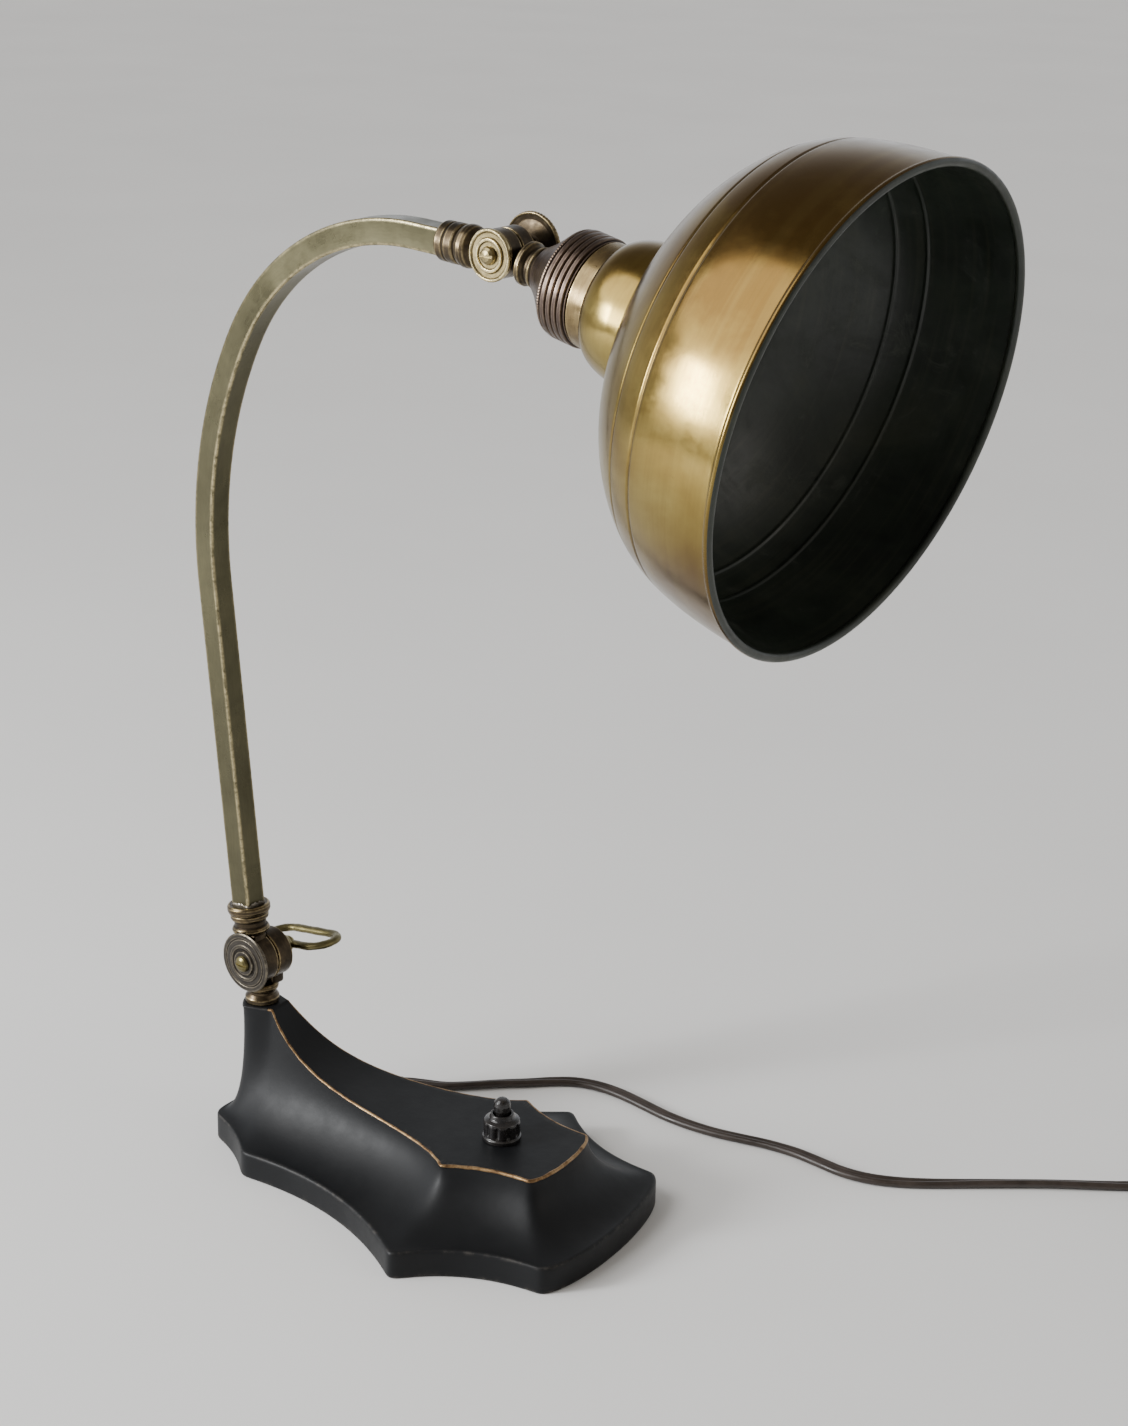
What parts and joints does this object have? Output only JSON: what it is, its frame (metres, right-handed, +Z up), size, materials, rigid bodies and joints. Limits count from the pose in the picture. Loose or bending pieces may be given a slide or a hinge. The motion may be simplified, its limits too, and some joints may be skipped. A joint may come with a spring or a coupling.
{
  "type": "adjustable desk lamp",
  "caption": "Adjustable desk lamp: scalloped cast base with push switch, curved square brass arm clamped at both ends, spun brass bowl shade and a mains cord.",
  "frame": {"origin": "middle of the base casting's length, on its centre line, on the surface the lamp stands on", "axes": "+X along the base from the neck towards the nose, +Y towards the side the cord and the loop key are on, +Z up"},
  "size_m": [0.4574, 0.3223, 0.4485],
  "materials": {
    "black_enamel": "satin black stove enamel, slightly rounded at the worn edges",
    "gilt_line": "thin worn gilt line along the ridge, rubbed through in places",
    "aged_arm_brass": "aged olive brass, drawn lengthways, bright on the rubbed corners",
    "shade_brass": "spun brass under old lacquer, golden with orange and brown toning",
    "shade_paint": "dark green-black paint inside the bowl, smudged and faintly ringed",
    "shell_brass": "turned brass with a brown patina",
    "purple_bronze": "dark purple-brown oxidised brass, rubbed on the ribs",
    "dark_bronze": "dark oxidised brass with bright rubbed edges",
    "gunmetal_bronze": "turned grey-brown oxidised brass",
    "bright_brass": "turned brass, lightly tarnished",
    "tarnished_brass": "tarnished olive brass wire and screw",
    "plain_brass": "plain pressed brass",
    "black_bakelite": "glossy black moulded bakelite",
    "blued_steel": "blued sheet steel",
    "zinc_steel": "dull zinc-plated steel",
    "green_felt": "pressed wool felt",
    "brown_fibre": "vulcanised fibre",
    "glazed_porcelain": "cream glazed porcelain",
    "wire_insulation": "rubbery insulated wire",
    "brown_cord": "dark brown flat twin flex, soft sheen"
  },
  "bodies": {
    "base": {"base_casting": "black_enamel", "bottom_plate": "blued_steel", "felt_pad": "green_felt", "plate_screws": "zinc_steel", "cord_bushing": "black_bakelite", "switch_body": "black_bakelite", "switch_terminals": "plain_brass", "switch_nut": "black_bakelite", "switch_spring": "zinc_steel", "base_leads": "wire_insulation", "lower_foot": "dark_bronze", "foot_washer": "zinc_steel", "foot_nut": "plain_brass", "lower_pivot_screw": "tarnished_brass", "lower_disc": "gunmetal_bronze", "lower_friction_washer": "brown_fibre", "cord_run": "brown_cord", "cord_coil": "brown_cord", "plug_body": "black_bakelite", "plug_blades": "plain_brass"},
    "switch_button": {"switch_button": "black_bakelite"},
    "lower_key": {"lower_loop_key": "tarnished_brass"},
    "arm": {"lower_arm_half": "dark_bronze", "arm_tube": "aged_arm_brass", "upper_arm_half": "dark_bronze", "arm_leads": "wire_insulation", "upper_pivot_screw": "bright_brass", "upper_disc": "bright_brass", "upper_friction_washer": "brown_fibre"},
    "upper_wheel": {"upper_thumb_wheel": "dark_bronze"},
    "head": {"upper_head_half": "dark_bronze", "socket_cap": "purple_bronze", "cap_set_screw": "blued_steel", "socket_shell": "shell_brass", "socket_liner": "brown_fibre", "socket_insulator": "glazed_porcelain", "socket_screw_shell": "plain_brass", "socket_contact": "plain_brass", "head_leads": "wire_insulation", "shade_ring": "plain_brass", "shade": "shade_brass"}
  },
  "joints": [
    {"name": "switch_press", "type": "slide", "parent": "base", "child": "switch_button", "axis": [0, 0, -1], "range_m": [0, 0.0022], "stiffness_N_per_m": 400, "springref_m": -0.001, "deforming": ["switch_spring"]},
    {"name": "lower_pivot", "type": "hinge", "parent": "base", "child": "arm", "pos_m": [-0.0833, 0, 0.0806], "axis": [0.1184, 0.993, 0], "range_deg": [-30, 45]},
    {"name": "lower_key_turn", "type": "hinge", "parent": "base", "child": "lower_key", "pos_m": [-0.0833, 0, 0.0806], "axis": [0.1184, 0.993, 0], "range_deg": [-30, 180]},
    {"name": "upper_pivot", "type": "hinge", "parent": "arm", "child": "head", "pos_m": [0.04347, -0.01512, 0.39425], "axis": [0.1184, 0.993, 0], "range_deg": [-50, 80]},
    {"name": "upper_wheel_turn", "type": "hinge", "parent": "arm", "child": "upper_wheel", "pos_m": [0.04347, -0.01512, 0.39425], "axis": [0.1184, 0.993, 0], "range_deg": [-30, 270]}
  ]
}
